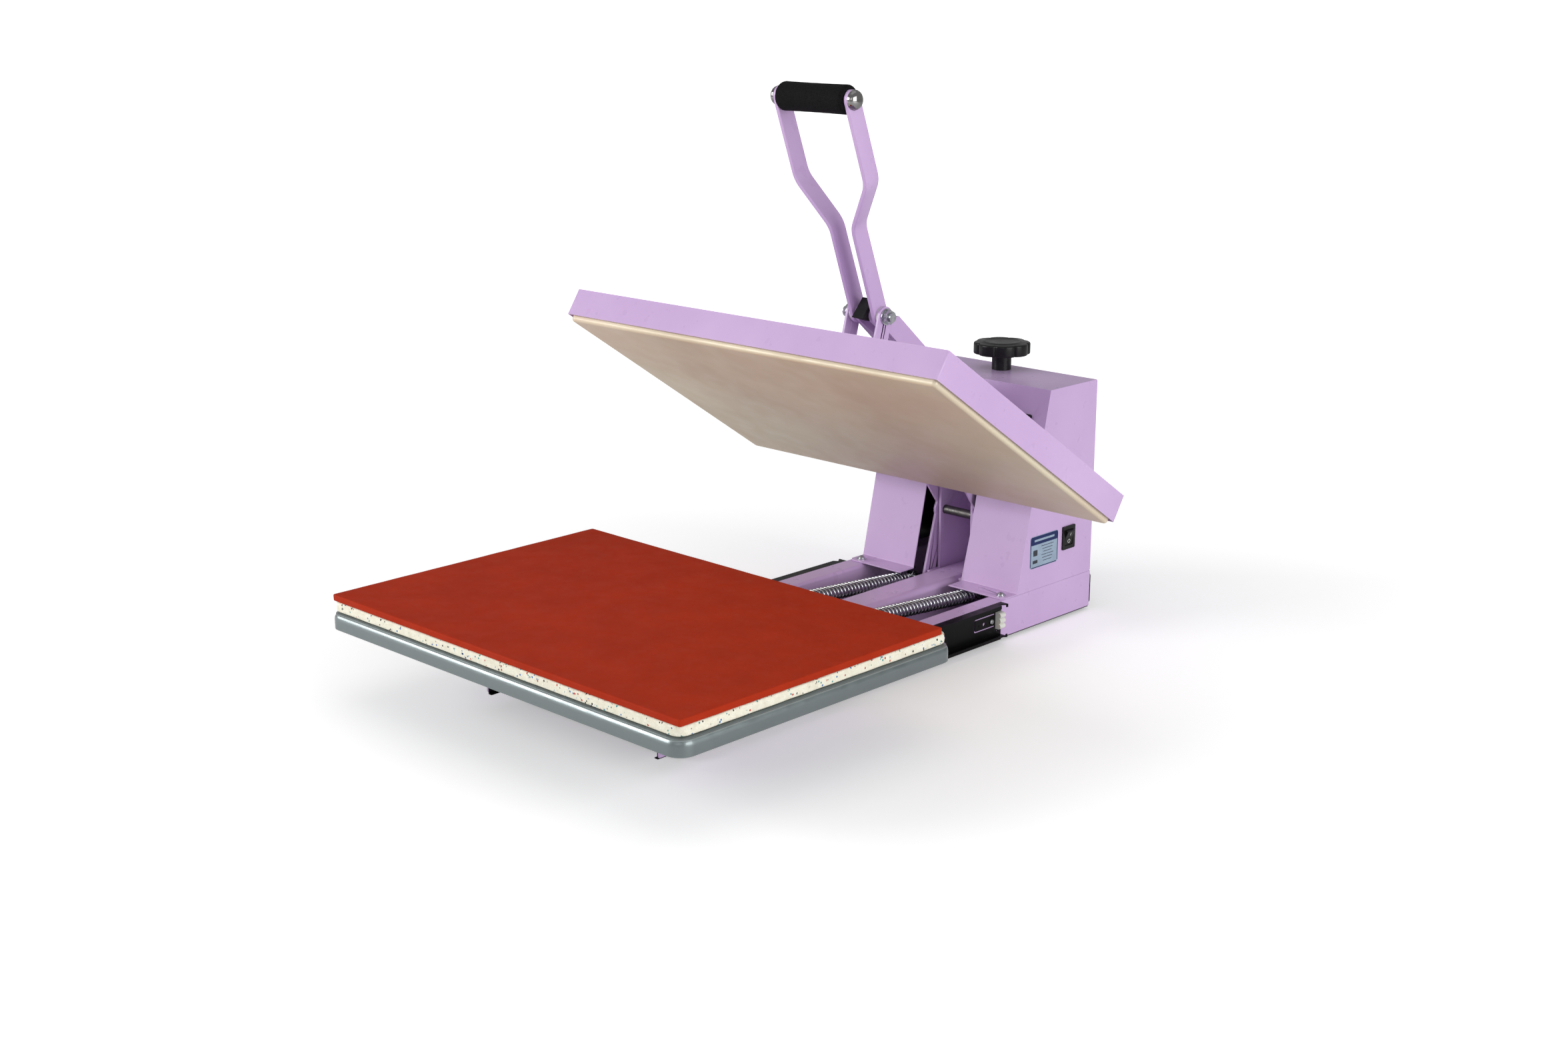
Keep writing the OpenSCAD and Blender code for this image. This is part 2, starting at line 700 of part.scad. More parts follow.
module flange_screws() {
  color(zinc) both() translate([foot_screw[0], foot_screw[1], rail_top + sheet_t]) {
    difference() {
      cylinder(r = 6.5, h = 1);
      translate([0, 0, -1]) cylinder(r = 2.55, h = 3);
    }
    translate([0, 0, 1]) pan_screw(4.4, 2.5, 2.8);
  }
}

module cover_screws() {
  y0 = house_rear + 2;
  color(zinc) for (x = cover_screw_x * [-1, 1], z = cover_screw_z) translate([x, y0, z]) rotate([-90, 0, 0])
    pan_screw(3.6, 2, 8);
}

module relay() {
  color(dark) block([-100, 410, 140], [-56, 440, 200]);
  color(zinc) block([-105, 440, 132], [-50, 444.4, 208]);
}

module terminal_block() {
  color([0.9, 0.9, 0.86]) difference() {
    block([50, 425, 150], [110, 444.4, 168]);
    for (i = [0 : 4]) translate([56 + i * 12, 424, 159]) rotate([-90, 0, 0]) cylinder(r = 3, h = 12);
  }
}

// ---------------------------------------------------------------- arm, links and handle

module arm_plates() {
  color(lilac) at_arm() both() {
    difference() {
      union() {
        along_x(arm_x, arm_x + bar_t) difference() {
          union() {
            polygon([[0, -arm_hw], [0, arm_hw], [knee_a + 28, arm_hw], [knee_a - 0.7, -arm_hw]]);
            circle(arm_hw);
          }
          translate([knee_a, knee_b]) circle(eye_r + 0.6);
        }
        along_x(arm_eye_x, arm_x - gap) difference() {
          strap([knee_a, knee_b], [knee_a + 72, 0], 11);
          translate([knee_a, knee_b]) circle(shaft_r + 0.02);
        }
        along_x(arm_eye_x, arm_x + 1) translate([knee_a + 26, -9]) square([52, 16]);
      }
      bar_x(0, 0, 5, 25, shaft_r + run);
    }
  }
}

module arm_web() {
  color(lilac) at_arm() {
    along_x(-arm_eye_x, arm_eye_x) translate([knee_a + 20, 5]) square([46, 3]);
    along_x(-arm_x, arm_x) translate([knee_a + 90, 6]) square([90, 3]);
    along_x(-arm_x, arm_x) translate([knee_a + 190, -9]) square([60, 3]);
  }
}

module stop_block() {
  color(dark) along_x(-arm_eye_x + 0.2, arm_eye_x - 0.2) difference() {
    translate([knee_y, knee_z]) polygon([[-23, -2], [-2.8, 21], [3, 15], [8, -5], [2, -9.5]]);
    translate([knee_y, knee_z]) circle(shaft_r + 0.02);
  }
}

module pivot_bolt() {
  color(zinc) {
    bar_x(knee_y, knee_z, -40, 40, shaft_r);
    both() difference() {
      translate([link_x + link_t + gap, knee_y, knee_z]) rotate([0, 90, 0]) union() {
        cylinder(r = 10.5, h = 1.6);
        translate([0, 0, 1.6]) cylinder(r = 9.2, h = 6.6, $fn = 6);
      }
      bar_x(knee_y, knee_z, link_x, link_x + 20, shaft_r - 0.5);
    }
  }
}

module nylon_washers() {
  color([0.95, 0.95, 0.93]) both() difference() {
    bar_x(knee_y, knee_z, arm_x + bar_t + 0.1, link_x - 0.1, 11.5);
    bar_x(knee_y, knee_z, arm_x, link_x + 1, shaft_r + 0.02);
  }
}

module press_links() {
  lower = [link_pin_y, link_pin_z];
  slot = 4;
  u = [cos(link_deg), sin(link_deg)];
  color(lilac) both() along_x(link_x, link_x + link_t) difference() {
    union() {
      strap([knee_y, knee_z], lower - 6 * u, 12.5);
      strap(lower - slot * u, lower + slot * u, 12.5);
    }
    translate([knee_y, knee_z]) circle(shaft_r + run);
    strap(lower - slot * u, lower + slot * u, 7.9);
  }
}

module handle_bars() {
  low = arm_x;
  high = 54.5;
  s0 = 123;
  s1 = 183;
  top = grip_s + bar_w / 2;
  dx = bar_t * (1 - cos(32)) / sin(32);
  color(lilac) at_handle() both() difference() {
    intersection() {
      along_y(-20, 20) polygon([[low, -20], [low + bar_t, -20], [low + bar_t, s0 - dx],
        [high + bar_t, s1 - dx], [high + bar_t, top], [high, top], [high, s1 + dx], [low, s0 + dx]]);
      along_x(0, 80) {
        circle(eye_r);
        polygon([[-eye_r + 0.4, 0], [-bar_w / 2, 30], [-bar_w / 2, grip_s], [bar_w / 2, grip_s],
          [bar_w / 2, 30], [eye_r - 0.4, 0]]);
        translate([0, grip_s]) circle(bar_w / 2);
      }
    }
    bar_x(0, 0, 0, 40, shaft_r + run);
    bar_x(0, grip_s, 40, 80, 5.02);
  }
}

module grip_tube() {
  color(zinc) at_handle() {
    difference() {
      bar_x(0, grip_s, -54.5, 54.5, 11);
      bar_x(0, grip_s, -56, 56, 5);
    }
    bar_x(0, grip_s, -66, 66, 4.95);
  }
}

module foam_grip() {
  color(dark) at_handle() difference() {
    bar_x(0, grip_s, -54, 54, grip_r);
    bar_x(0, grip_s, -56, 56, 11);
  }
}

module dome_nuts() {
  color(zinc) at_handle() both() difference() {
    translate([60.5, 0, grip_s]) rotate([0, 90, 0]) rotate_extrude()
      polygon(concat([[0, 0], [12, 0], [12, 2]],
        [for (a = [0 : 9 : 90]) [11.7 * cos(a), 2.4 + 6.6 * sin(a)]]));
    bar_x(0, grip_s, 55, 66.1, 4.97);
  }
}

// ---------------------------------------------------------------- pressure adjuster

module pressure_block() {
  color(zinc) {
    difference() {
      block([-arm_x + gap, block_y - 13, block_z - 15], [arm_x - gap, block_y + 13, block_z + 38]);
      translate([0, block_y, block_z + 10]) cylinder(r = 7 + run, h = 40);
    }
    bar_x(block_y, block_z, -24.5, 24.5, shaft_r);
  }
}

module pressure_knob() {
  h0 = house_top + 22;
  module lobed(inset, z, h) {
    translate([0, block_y, z]) linear_extrude(h)
      polygon([for (a = [0 : 5 : 355]) (knob_r - inset - 1.8 + 1.8 * cos(8 * a)) * [cos(a), sin(a)]]);
  }
  color(dark) {
    lobed(1.2, h0, 1.5);
    lobed(0, h0 + 1.5, 12);
    lobed(2.5, h0 + 13.5, 2.5);
    translate([0, block_y, h0 + 16]) cylinder(r = knob_r * 0.62, h = 1.2);
    translate([0, block_y, house_top + 0.5]) cylinder(r = 13.2, h = 22);
  }
  color(zinc) {
    translate([0, block_y, block_z + 16]) cylinder(r = 7, h = house_top + 0.5 - block_z - 16);
    translate([0, block_y, bridge_z + bridge_t + gap]) cylinder(r = 11, h = 6);
  }
}

// ---------------------------------------------------------------- drawing

side_rails();
centre_beam();
front_cross_member();
rear_cross_member();
base_plate();
rear_end_cap();
rubber_feet();
tower_plates();
housing_cover();
rear_cover();
main_shaft();
shaft_nuts();
screw_bridge();
slide_outers();
slide_bumpers();
slide_screws();
spring_anchor();
counter_springs();
controller_case();
controller_display();
rocker_frame();
power_inlet();
label_plate();
flange_screws();
cover_screws();
relay();
terminal_block();
slide_middles();
ball_cages();
slide_inners();
drawer_brackets();
bracket_screws();
drawer_tray();
foam_pad();
silicone_pad();
platen_cover();
heat_plate();
insulation_board();
heating_element();
thermal_sensor();
hinge_brackets();
spring_pins();
link_pin();
arm_plates();
arm_web();
stop_block();
pivot_bolt();
nylon_washers();
press_links();
handle_bars();
grip_tube();
foam_grip();
dome_nuts();
pressure_block();
pressure_knob();
rocker();
key_menu();
key_down();
key_up();
key_start();
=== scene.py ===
"""Looks of a clamshell heat press, open, with its lower platen drawn out to the front."""
import json
import math

import bmesh
import bpy
from mathutils import Matrix, Vector


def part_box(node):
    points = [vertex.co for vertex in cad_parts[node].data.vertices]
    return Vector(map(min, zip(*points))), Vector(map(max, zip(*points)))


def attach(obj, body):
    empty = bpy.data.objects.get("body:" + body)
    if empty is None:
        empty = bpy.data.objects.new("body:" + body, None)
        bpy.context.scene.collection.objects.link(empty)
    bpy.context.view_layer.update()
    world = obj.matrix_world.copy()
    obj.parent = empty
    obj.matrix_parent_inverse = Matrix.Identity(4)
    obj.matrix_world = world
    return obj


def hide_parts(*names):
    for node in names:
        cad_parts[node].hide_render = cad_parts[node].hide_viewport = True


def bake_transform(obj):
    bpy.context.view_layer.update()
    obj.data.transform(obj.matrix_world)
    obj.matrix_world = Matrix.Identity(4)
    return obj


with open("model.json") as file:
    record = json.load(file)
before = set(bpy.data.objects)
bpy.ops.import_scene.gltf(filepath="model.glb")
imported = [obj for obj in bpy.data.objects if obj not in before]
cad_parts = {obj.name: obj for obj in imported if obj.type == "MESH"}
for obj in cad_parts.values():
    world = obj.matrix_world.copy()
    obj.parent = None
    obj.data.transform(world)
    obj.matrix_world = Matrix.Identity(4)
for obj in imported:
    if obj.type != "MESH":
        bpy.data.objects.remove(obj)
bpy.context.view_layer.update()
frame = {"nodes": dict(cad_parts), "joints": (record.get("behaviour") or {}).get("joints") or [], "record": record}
NODES = frame["nodes"]
JOINTS = {j["name"]: j for j in frame["joints"]}
MM = 0.001


# ------------------------------------------------------------------ camera, light and floor

def make_camera():
    azimuth, elevation = math.radians(44.05), math.radians(15.387)
    back = Vector((math.sin(azimuth) * math.cos(elevation), -math.cos(azimuth) * math.cos(elevation),
                   math.sin(elevation)))
    data = bpy.data.cameras.new("camera")
    data.lens, data.sensor_width = 47.07, 36
    data.clip_end = 300
    camera = bpy.data.objects.new("camera", data)
    camera.location = (1.69357, -1.75046, 0.85799)
    camera.rotation_mode = "QUATERNION"
    camera.rotation_quaternion = (-back).to_track_quat("-Z", "Y")
    bpy.context.scene.collection.objects.link(camera)
    bpy.context.scene.camera = camera


def area_light(name, place, target, size, power):
    data = bpy.data.lights.new(name, "AREA")
    data.shape, data.size, data.size_y = "RECTANGLE", size[0], size[1]
    data.energy = power
    light = bpy.data.objects.new(name, data)
    light.location = place
    light.rotation_euler = (Vector(target) - Vector(place)).to_track_quat("-Z", "Y").to_euler()
    bpy.context.scene.collection.objects.link(light)


# where each soft box stands, what it faces, its size and its power, in metres and watts
SOFT_BOXES = {
    "right": ((3.4, 0.1, 1.1), (0, 0, 0.3), (2.4, 1.8), 64),
    "front_right": ((1.9, -3.0, 1.5), (0, 0, 0.25), (2.2, 1.6), 12),
    "front_left": ((-2.4, -2.8, 1.5), (0, 0, 0.25), (2.2, 1.6), 92),
    "top": ((0, 0.2, 3.4), (0, 0, 0), (3, 3), 10),
}
WORLD_LIGHT = 0.37
# the floor glows more away from the object, from the first distance to the second
NEAR_GLOW, FAR_GLOW = 0.3, 0.85
GLOW_START, GLOW_END = 0.5, 2.2
FLOOR_SIZE = 240


def make_studio():
    """A white backdrop. Only the camera sees the world and the floor at their full white."""
    scene = bpy.context.scene
    scene.view_settings.view_transform = "Standard"
    world = bpy.data.worlds.new("studio")
    world.use_nodes = True
    tree = world.node_tree
    seen = tree.nodes.new("ShaderNodeLightPath").outputs["Is Camera Ray"]
    strength = tree.nodes.new("ShaderNodeMapRange")
    strength.inputs["To Min"].default_value, strength.inputs["To Max"].default_value = WORLD_LIGHT, 1.0
    tree.links.new(seen, strength.inputs["Value"])
    tree.links.new(strength.outputs["Result"], tree.nodes["Background"].inputs["Strength"])
    tree.nodes["Background"].inputs["Color"].default_value = (1, 1, 1, 1)
    scene.world = world
    for name, (place, target, size, power) in SOFT_BOXES.items():
        area_light(name, place, target, size, power)
    bpy.ops.mesh.primitive_plane_add(size=FLOOR_SIZE)
    floor = bpy.context.object
    floor.name = "floor"
    white = Recipe("floor_white", (0.9, 0.9, 0.905), 0.8)
    white.rough(white.span(white.noise(3), 0.3, 0.7, 0.75, 0.85))
    white.shader.inputs["Emission Color"].default_value = (1, 1, 1, 1)
    seen = white.tree.nodes.new("ShaderNodeLightPath").outputs["Is Camera Ray"]
    distance = white.node("ShaderNodeVectorMath", Vector=white.place)
    distance.operation = "LENGTH"
    glow = white.span(distance.outputs["Value"], GLOW_START, GLOW_END, NEAR_GLOW, FAR_GLOW)
    white.feed(white.shader.inputs["Emission Strength"], white.maths("MULTIPLY", seen, glow))
    floor.data.materials.append(white.material)


# ------------------------------------------------------------------ materials

def linear(r, g, b):
    """A colour given as 0-255 display values, as linear values."""
    return tuple(c / 255 / 12.92 if c < 10 else ((c / 255 + 0.055) / 1.055) ** 2.4 for c in (r, g, b))


class Recipe:
    """A Principled material and short calls that add nodes to it. Textures use the row's own coordinates."""

    def __init__(self, name, colour, roughness=0.5, **sockets):
        self.material = bpy.data.materials.new(name)
        self.material.use_nodes = True
        self.tree = self.material.node_tree
        self.shader = self.tree.nodes["Principled BSDF"]
        self.shader.inputs["Base Color"].default_value = (*colour, 1)
        self.shader.inputs["Roughness"].default_value = roughness
        for socket, value in sockets.items():
            self.shader.inputs[socket.replace("_", " ")].default_value = value
        self.place = self.tree.nodes.new("ShaderNodeTexCoord").outputs["Object"]

    def node(self, kind, **inputs):
        made = self.tree.nodes.new(kind)
        for name, value in inputs.items():
            self.feed(made.inputs[name.replace("_", " ")], value)
        return made

    def feed(self, socket, value):
        if isinstance(value, bpy.types.NodeSocket):
            self.tree.links.new(value, socket)
        else:
            socket.default_value = value

    def noise(self, scale, detail=3.0, roughness=0.5, place=None):
        made = self.node("ShaderNodeTexNoise", Vector=place or self.place, Scale=scale, Detail=detail,
                         Roughness=roughness)
        return made.outputs["Fac"]

    def stretched(self, x, y, z):
        made = self.node("ShaderNodeMapping", Vector=self.place)
        made.inputs["Scale"].default_value = (x, y, z)
        return made.outputs["Vector"]

    def cells(self, scale, place=None):
        return self.node("ShaderNodeTexVoronoi", Vector=place or self.place, Scale=scale).outputs["Distance"]

    def span(self, value, low, high, to_low=0.0, to_high=1.0):
        made = self.node("ShaderNodeMapRange", Value=value)
        limits = {"From Min": low, "From Max": high, "To Min": to_low, "To Max": to_high}
        for name, number in limits.items():
            made.inputs[name].default_value = number
        return made.outputs["Result"]

    def mix(self, factor, a, b):
        made = self.tree.nodes.new("ShaderNodeMix")
        made.data_type = "RGBA"
        self.feed(made.inputs["Factor"], factor)
        for socket, value in ((made.inputs[6], a), (made.inputs[7], b)):
            self.feed(socket, value if isinstance(value, bpy.types.NodeSocket) else (*value, 1))
        return made.outputs[2]

    def maths(self, operation, a, b=0.5):
        made = self.tree.nodes.new("ShaderNodeMath")
        made.operation = operation
        self.feed(made.inputs[0], a)
        self.feed(made.inputs[1], b)
        return made.outputs[0]

    def edges(self, radius):
        """Near 1 along sharp edges, 0 on flats."""
        round_normal = self.node("ShaderNodeBevel", Radius=radius)
        round_normal.samples = 4
        flat = self.tree.nodes.new("ShaderNodeNewGeometry")
        dot = self.tree.nodes.new("ShaderNodeVectorMath")
        dot.operation = "DOT_PRODUCT"
        self.tree.links.new(round_normal.outputs["Normal"], dot.inputs[0])
        self.tree.links.new(flat.outputs["Normal"], dot.inputs[1])
        return self.span(dot.outputs["Value"], 0.99, 0.8)

    def colour(self, value):
        self.feed(self.shader.inputs["Base Color"], value)

    def rough(self, value):
        self.feed(self.shader.inputs["Roughness"], value)

    def bump(self, height, distance, strength=1.0):
        made = self.node("ShaderNodeBump", Height=height, Strength=strength)
        made.inputs["Distance"].default_value = distance
        earlier = self.shader.inputs["Normal"].links
        if earlier:
            self.tree.links.new(earlier[0].from_socket, made.inputs["Normal"])
        self.tree.links.new(made.outputs["Normal"], self.shader.inputs["Normal"])


def inside_housing(r):
    """1 on the inner faces of the housing, which are coloured near-black as painted shade, and 0 outside."""
    low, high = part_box("housing_cover")
    skin = 1 * MM
    foot_depth, front_depth = 29 * MM, 59 * MM
    lean = front_depth / (high.z - low.z)
    split = r.node("ShaderNodeSeparateXYZ", Vector=r.place)
    x, y, z = (split.outputs[axis] for axis in "XYZ")
    behind = r.maths("SUBTRACT", r.maths("SUBTRACT", y, r.maths("MULTIPLY", z, lean)),
                     low.y + foot_depth - low.z * lean)
    inner = r.maths("LESS_THAN", r.maths("ABSOLUTE", x), high.x - skin)
    inner = r.maths("MULTIPLY", inner, r.maths("GREATER_THAN", behind, skin))
    return r.maths("MULTIPLY", inner, r.maths("LESS_THAN", z, high.z - skin))


def powder_coat(name="lilac_powder", painted_shade_inside=False):
    """Satin powder coat: orange peel, faint cloudiness, and edges painted slightly paler as a painted highlight.
    """
    colour, deep = linear(203, 174, 216), linear(196, 166, 210)
    fleck, lilac_edge_highlight = linear(224, 202, 232), linear(230, 212, 238)
    r = Recipe(name, colour, 0.36, Coat_Weight=0.12, Coat_Roughness=0.16, Specular_IOR_Level=0.35)
    cloudy = r.mix(r.span(r.noise(7, 4), 0.35, 0.68), colour, deep)
    flecks = r.mix(r.span(r.noise(1400, 1), 0.66, 0.8, 0, 0.3), cloudy, fleck)
    # painted highlight: the edges are mixed towards a paler lilac
    paint = r.mix(r.maths("MULTIPLY", r.edges(0.0009), 0.45), flecks, lilac_edge_highlight)
    # painted shade: the housing's inner faces are coloured near-black to stand for the shade inside it
    r.colour(r.mix(inside_housing(r), paint, (0.008, 0.008, 0.009)) if painted_shade_inside else paint)
    r.rough(r.span(r.noise(60, 4), 0.3, 0.75, 0.26, 0.4))
    r.bump(r.noise(850, 2, 0.6), 0.00005, 0.4)
    r.bump(r.noise(260, 2), 0.00008, 0.25)
    return r.material


def metallic_paint():
    """Blue-grey metallic lacquer with fine bright flake, and edges painted paler as a painted highlight."""
    base, pale = linear(122, 131, 132), linear(176, 184, 184)
    r = Recipe("grey_metallic", base, 0.3, Metallic=0.85, Coat_Weight=0.4, Coat_Roughness=0.12)
    flake = r.mix(r.span(r.cells(1500), 0.12, 0.02), base, pale)
    # painted highlight: the edges are mixed towards the pale tint
    r.colour(r.mix(r.maths("MULTIPLY", r.edges(0.0012), 0.5), flake, pale))
    r.rough(r.span(r.noise(90, 3), 0.3, 0.7, 0.28, 0.44))
    r.bump(r.noise(900, 2), 0.00006, 0.4)
    return r.material


def silicone():
    """Matt brick-red silicone: fine grain, faint pressed mottling, and edges painted paler as a painted highlight.
    """
    base, dark, grain_and_edge_highlight = linear(171, 46, 17), linear(161, 42, 15), linear(186, 58, 27)
    r = Recipe("red_silicone", base, 0.6, Specular_IOR_Level=0.1)
    mottled = r.mix(r.span(r.noise(16, 5, 0.6), 0.35, 0.7), base, dark)
    grain = r.mix(r.span(r.noise(1900, 2), 0.56, 0.72, 0, 0.4), mottled, grain_and_edge_highlight)
    # painted highlight: the edges are mixed towards the paler red that also tints the grain
    r.colour(r.mix(r.maths("MULTIPLY", r.edges(0.0016), 0.5), grain, grain_and_edge_highlight))
    r.rough(r.span(r.noise(45, 4), 0.3, 0.7, 0.6, 0.8))
    r.bump(r.noise(1500, 3, 0.7), 0.00022, 0.6)
    r.bump(r.cells(420), 0.00012, 0.3)
    return r.material


def speckled_foam():
    """Cream rebonded foam with scattered coloured crumbs, and open pores painted darker as painted shade."""
    r = Recipe("speckled_foam", linear(238, 234, 216), 0.92, Specular_IOR_Level=0.2)
    colour = r.mix(r.span(r.noise(120, 4), 0.4, 0.7), linear(240, 236, 219), linear(228, 223, 203))
    crumbs = ((170, 0.2, linear(40, 110, 175), 0.0), (150, 0.17, linear(60, 150, 150), 3.1),
              (160, 0.19, linear(40, 38, 44), 5.7), (140, 0.17, linear(190, 70, 52), 8.3))
    for scale, size, tint, shift in crumbs:
        made = r.node("ShaderNodeMapping", Vector=r.place)
        made.inputs["Location"].default_value = (shift, shift * 0.7, shift * 1.3)
        near = r.span(r.cells(scale, made.outputs["Vector"]), size + 0.04, size - 0.03)
        some = r.span(r.noise(90, 1, place=made.outputs["Vector"]), 0.5, 0.53)
        colour = r.mix(r.maths("MULTIPLY", near, some), colour, tint)
    pores = r.cells(700)
    # painted shade: the pores are coloured darker to stand for the shade in the holes
    r.colour(r.mix(r.span(pores, 0.22, 0.02, 0, 0.45), colour, linear(188, 182, 165)))
    r.bump(pores, 0.0006, 0.7)
    r.bump(r.noise(160, 5, 0.7), 0.0007, 0.5)
    return r.material


def coated_plate():
    """Ivory non-stick coating over cast aluminium, with faint warm and cool mottling."""
    ivory, taupe, pink = linear(222, 210, 184), linear(206, 190, 164), linear(212, 186, 164)
    r = Recipe("coated_aluminium", ivory, 0.4, Metallic=0.12, Coat_Weight=0.12, Coat_Roughness=0.4)
    cloudy = r.mix(r.span(r.noise(5, 3), 0.38, 0.66), ivory, taupe)
    warm = r.mix(r.span(r.noise(3.2, 2, place=r.stretched(1, 1.7, 1)), 0.45, 0.7, 0, 0.6), cloudy, pink)
    r.colour(r.mix(r.span(r.noise(2200, 1), 0.6, 0.75, 0, 0.3), warm, linear(190, 180, 162)))
    r.rough(r.span(r.noise(40, 4), 0.3, 0.7, 0.36, 0.52))
    r.bump(r.noise(1200, 2), 0.00006, 0.5)
    return r.material


def zinc(name="bright_zinc", shade=(0.55, 0.57, 0.59), roughness=0.24):
    """Bright zinc plate with fine grain and a little cloudiness."""
    r = Recipe(name, shade, roughness, Metallic=1.0)
    dull = tuple(c * 0.72 for c in shade)
    r.colour(r.mix(r.span(r.noise(220, 4), 0.4, 0.75), shade, dull))
    r.rough(r.span(r.noise(520, 3), 0.3, 0.7, roughness - 0.08, roughness + 0.14))
    r.bump(r.noise(2400, 2), 0.00003, 0.4)
    return r.material


def chrome():
    # painted reflection: the chrome's base colour is kept dark to stand for the dark surroundings it reflects
    r = Recipe("chrome", (0.3, 0.295, 0.29), 0.07, Metallic=1.0)
    r.rough(r.span(r.noise(300, 3), 0.35, 0.75, 0.04, 0.14))
    r.bump(r.noise(90, 2), 0.00004, 0.2)
    return r.material


def black(name, shade=0.008, low=0.3, high=0.5, grain=1100, depth=0.00008, shine=0.25):
    """A black moulded, rubber or blackened surface with its own grain, and edges painted paler as a painted
    highlight.
    """
    r = Recipe(name, (shade, shade, shade * 1.05), (low + high) / 2, Specular_IOR_Level=shine)
    paler = (shade * 2.4, shade * 2.4, shade * 2.5)
    # painted highlight: the edges are mixed towards a paler black
    r.colour(r.mix(r.maths("MULTIPLY", r.edges(0.0007), 0.6), (shade, shade, shade * 1.05), paler))
    r.rough(r.span(r.noise(70, 4), 0.3, 0.7, low, high))
    r.bump(r.noise(grain, 2, 0.6), depth, 0.6)
    return r.material


def grip_foam():
    """Black closed-cell foam: tiny dimples and a soft sheen."""
    r = Recipe("grip_foam", (0.005, 0.005, 0.0052), 0.82, Specular_IOR_Level=0.12)
    cells = r.cells(820)
    r.colour(r.mix(r.span(cells, 0.3, 0.6), (0.008, 0.008, 0.0085), (0.003, 0.003, 0.0032)))
    r.bump(cells, 0.0003, 0.6)
    r.bump(r.noise(60, 3), 0.0005, 0.4)
    return r.material


def tinted(name, colour, roughness, grain=700, depth=0.00006, **sockets):
    """A plain colour, a little darker in soft patches, with a fine grain."""
    r = Recipe(name, colour, roughness, **sockets)
    r.colour(r.mix(r.span(r.noise(35, 4), 0.35, 0.7), colour, tuple(c * 0.82 for c in colour)))
    r.rough(r.span(r.noise(90, 3), 0.3, 0.7, roughness - 0.06, roughness + 0.08))
    r.bump(r.noise(grain, 2), depth, 0.5)
    return r.material


def glowing(name, colour, strength):
    r = Recipe(name, colour, 0.4, Emission_Strength=strength)
    r.shader.inputs["Emission Color"].default_value = (*colour, 1)
    r.colour(r.mix(r.noise(900, 1), colour, tuple(c * 0.8 for c in colour)))
    return r.material


def make_materials():
    return {
        "painted_steel": powder_coat(),
        # painted shade: this lilac has near-black inner faces inside the housing
        "housing_with_painted_shade": powder_coat("lilac_powder_black_inside", painted_shade_inside=True),
        "black_steel": black("black_steel", 0.003, 0.3, 0.42, 1600, 0.00002, 0.12),
        "black_plastic": black("black_plastic", 0.007, 0.22, 0.36),
        "black_rubber": black("black_rubber", 0.008, 0.6, 0.8, 700, 0.00015),
        "zinc_steel": zinc(),
        # painted shade: a dark, dull steel for the main shaft, which sits in shade inside the housing
        "shade_darkened_steel": zinc("shade_darkened_steel", (0.14, 0.135, 0.13), 0.45),
        "white_nylon": tinted("white_nylon", linear(232, 231, 224), 0.42, Subsurface_Weight=0.1),
        "display_window": tinted("display_window", (0.02, 0.004, 0.004), 0.1, Coat_Weight=1.0),
        "label_foil": tinted("label_foil", linear(158, 178, 198), 0.3, Metallic=0.2),
        "grey_metallic": metallic_paint(),
        "speckled_foam": speckled_foam(),
        "red_silicone": silicone(),
        "coated_aluminium": coated_plate(),
        "insulation": tinted("insulation", linear(226, 223, 210), 0.95, 300, 0.0006),
        "grip_foam": grip_foam(),
        "chrome": chrome(),
        "key_rubber": tinted("key_rubber", (0.11, 0.115, 0.125), 0.6),
    }


# ------------------------------------------------------------------ mesh helpers

def new_piece(name, bm, body, material, smooth=35.0):
    """Makes an object from bm, which rides on body."""
    bmesh.ops.remove_doubles(bm, verts=bm.verts, dist=1e-6)
    bmesh.ops.recalc_face_normals(bm, faces=bm.faces)
    limit = math.radians(smooth)
    for face in bm.faces:
        face.smooth = True
    for edge in bm.edges:
        edge.smooth = len(edge.link_faces) == 2 and edge.calc_face_angle(0) < limit
    mesh = bpy.data.meshes.new(name)
    bm.to_mesh(mesh)
    bm.free()
    mesh.materials.append(material)
    piece = bpy.data.objects.new(name, mesh)
    bpy.context.scene.collection.objects.link(piece)
    if body:
        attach(piece, body)
    return piece


LEAST_RADIUS = 0.0002


def outline(x0, y0, x1, y1, radius, inset=0.0, per_corner=8, spacing=None):
    """Points of a rectangle with round corners, anticlockwise, with extra points along its sides."""
    r = max(radius - inset, LEAST_RADIUS)
    x0, y0, x1, y1 = x0 + inset, y0 + inset, x1 - inset, y1 - inset
    corners = ((x1 - r, y1 - r, 0), (x0 + r, y1 - r, 90), (x0 + r, y0 + r, 180), (x1 - r, y0 + r, 270))
    points = []
    for n, (cx, cy, start) in enumerate(corners):
        for i in range(per_corner + 1):
            a = math.radians(start + 90 * i / per_corner)
            points.append((cx + r * math.cos(a), cy + r * math.sin(a)))
        if spacing:
            following = corners[(n + 1) % 4]
            a = math.radians(following[2])
            here = points[-1]
            there = (following[0] + r * math.cos(a), following[1] + r * math.sin(a))
            steps = spacing[n % 2]
            for i in range(1, steps):
                t = i / steps
                points.append((here[0] + (there[0] - here[0]) * t, here[1] + (there[1] - here[1]) * t))
    return points


def skin(bm, loops):
    """Joins each loop of vertices to the next with quads."""
    for low, high in zip(loops, loops[1:]):
        for i in range(len(low)):
            j = (i + 1) % len(low)
            bm.faces.new((low[i], low[j], high[j], high[i]))


